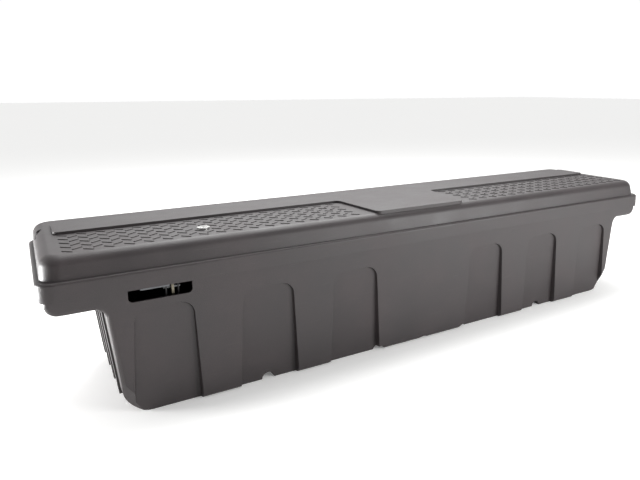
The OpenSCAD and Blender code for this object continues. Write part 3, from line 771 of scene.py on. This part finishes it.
# %% Powder coat
def powder_coat():
    """Black polyester powder coat on steel: a thin skin with an orange peel of about 2 mm."""
    finish, tree, shader, place = start_finish("black powder coat", IOR=1.5)
    peel = add_node(tree, "ShaderNodeTexNoise", {"Vector": place, "Scale": 500, "Detail": 2})
    tone = add_node(tree, "ShaderNodeTexNoise", {"Vector": place, "Scale": 40, "Detail": 4})
    colour = ramp_of(tree, tone.outputs["Fac"], ((0.35, "#161617"), (0.7, "#212122")))
    gloss = add_node(
        tree, "ShaderNodeMapRange",
        {"Value": tone.outputs["Fac"], "From Min": 0.3, "From Max": 0.7,
         "To Min": 0.3, "To Max": 0.42},
    )
    bump = add_node(
        tree, "ShaderNodeBump",
        {"Height": peel.outputs["Fac"], "Strength": 0.4, "Distance": 0.2 * MM},
    )
    tree.links.new(colour, shader.inputs["Base Color"])
    tree.links.new(gloss.outputs["Result"], shader.inputs["Roughness"])
    tree.links.new(bump.outputs["Normal"], shader.inputs["Normal"])
    return finish


coat = powder_coat()
print("coat mixed:", coat.name)

# %% Give every piece its finish
finishes = {
    "moulded_polyethylene": poly, "liner_plastic": liner, "seal_rubber": rubber,
    "zinc_plated_steel": zinc, "hinge_steel": stainless, "plain_steel": drawn_steel,
    "black_steel": coat, "rod_chrome": chrome, "lock_metal": nickel,
    "strut_nylon": strut_nylon, "bush_nylon": bush_nylon, "paddle_plastic": paddle,
    "brace_aluminium": aluminium,
}


def wear(piece, finish):
    """Puts one finish on a whole piece, in the slots that it already has or in a new one."""
    if not piece.material_slots:
        piece.data.materials.append(finish)
    for place in piece.material_slots:
        place.material = finish


for row in record["subparts"]:
    wear(frame["nodes"][row["node"]], finishes[row["material_slot"]])
wear(frame["nodes"]["latch_lever"], dull_zinc)
for piece in [tub, lid] + treads:
    wear(piece, poly)
print("finished pieces:", len(record["subparts"]) + 2 + len(treads))

# %% [markdown]
# ## Floor, light and camera
# The box stands on a wide pale floor that melts into a pale room. A large soft panel above and
# behind lights the top, a weaker one fills the front, and a low one at the left reaches the end
# wall under the wing.

# %% Lay the floor
# the floor is a white acrylic sweep that is lit from below, as studios use for plain backgrounds
floor_size, floor_gap = 60, 0.5 * MM
bpy.ops.mesh.primitive_plane_add(size=floor_size, location=(0, 0, -floor_gap))
floor = bpy.context.object
floor.name = "studio_floor"
acrylic = start_finish(
    "lit acrylic sweep", Base_Color=linear("#fbfbfa"), Roughness=0.9, Specular_IOR_Level=0.1,
    Emission_Color=linear("#ffffff"), Emission_Strength=0.16,
)[0]
floor.data.materials.append(acrylic)

# %% Light the room
world = bpy.data.worlds.new("pale_room")
bpy.context.scene.world = world
world.use_nodes = True
room = world.node_tree
direction = add_node(room, "ShaderNodeTexCoord").outputs["Generated"]
split = add_node(room, "ShaderNodeSeparateXYZ", {"Vector": direction})
# the wall that the hinge side faces is white, and the one in front of the box is half as bright
wall_light = add_node(
    room, "ShaderNodeMapRange",
    {"Value": split.outputs["Y"], "From Min": -0.5, "From Max": 0.2, "To Min": 0.3, "To Max": 1.02},
)
room.nodes["Background"].inputs["Color"].default_value = linear("#ffffff")
room.links.new(wall_light.outputs["Result"], room.nodes["Background"].inputs["Strength"])


def soft_panel(name, place, target, size, power):
    """A square area light that faces a target."""
    panel = bpy.data.lights.new(name, "AREA")
    panel.size = size
    panel.energy = power
    holder = bpy.data.objects.new(name, panel)
    holder.location = place
    holder.rotation_euler = (Vector(target) - Vector(place)).to_track_quat("-Z", "Y").to_euler()
    bpy.context.scene.collection.objects.link(holder)


soft_panel("top_panel", (0.45, 1.0, 2.4), (0.15, 0, 0.3), 2.4, 106)
soft_panel("front_panel", (1.5, -2.3, 0.8), (0.35, 0, 0.2), 1.2, 62)
soft_panel("left_panel", (-1.7, 0.35, 0.1), (-0.72, 0.05, 0.08), 0.4, 34)

# %% Set up the camera
eye = bpy.data.cameras.new("studio_camera")
eye.sensor_width = 36
eye.lens = 33.5
eye.shift_x, eye.shift_y = -0.125, -0.078
eye_holder = bpy.data.objects.new("studio_camera", eye)
eye_holder.location = (-0.8912, -1.4524, 0.6794)
look_down, look_round = 0.1710, -0.57261
eye_holder.rotation_euler = (math.pi / 2 - look_down, 0, look_round)
bpy.context.scene.collection.objects.link(eye_holder)
bpy.context.scene.camera = eye_holder
bpy.context.scene.view_settings.view_transform = "Standard"
print("camera at", tuple(eye_holder.location))
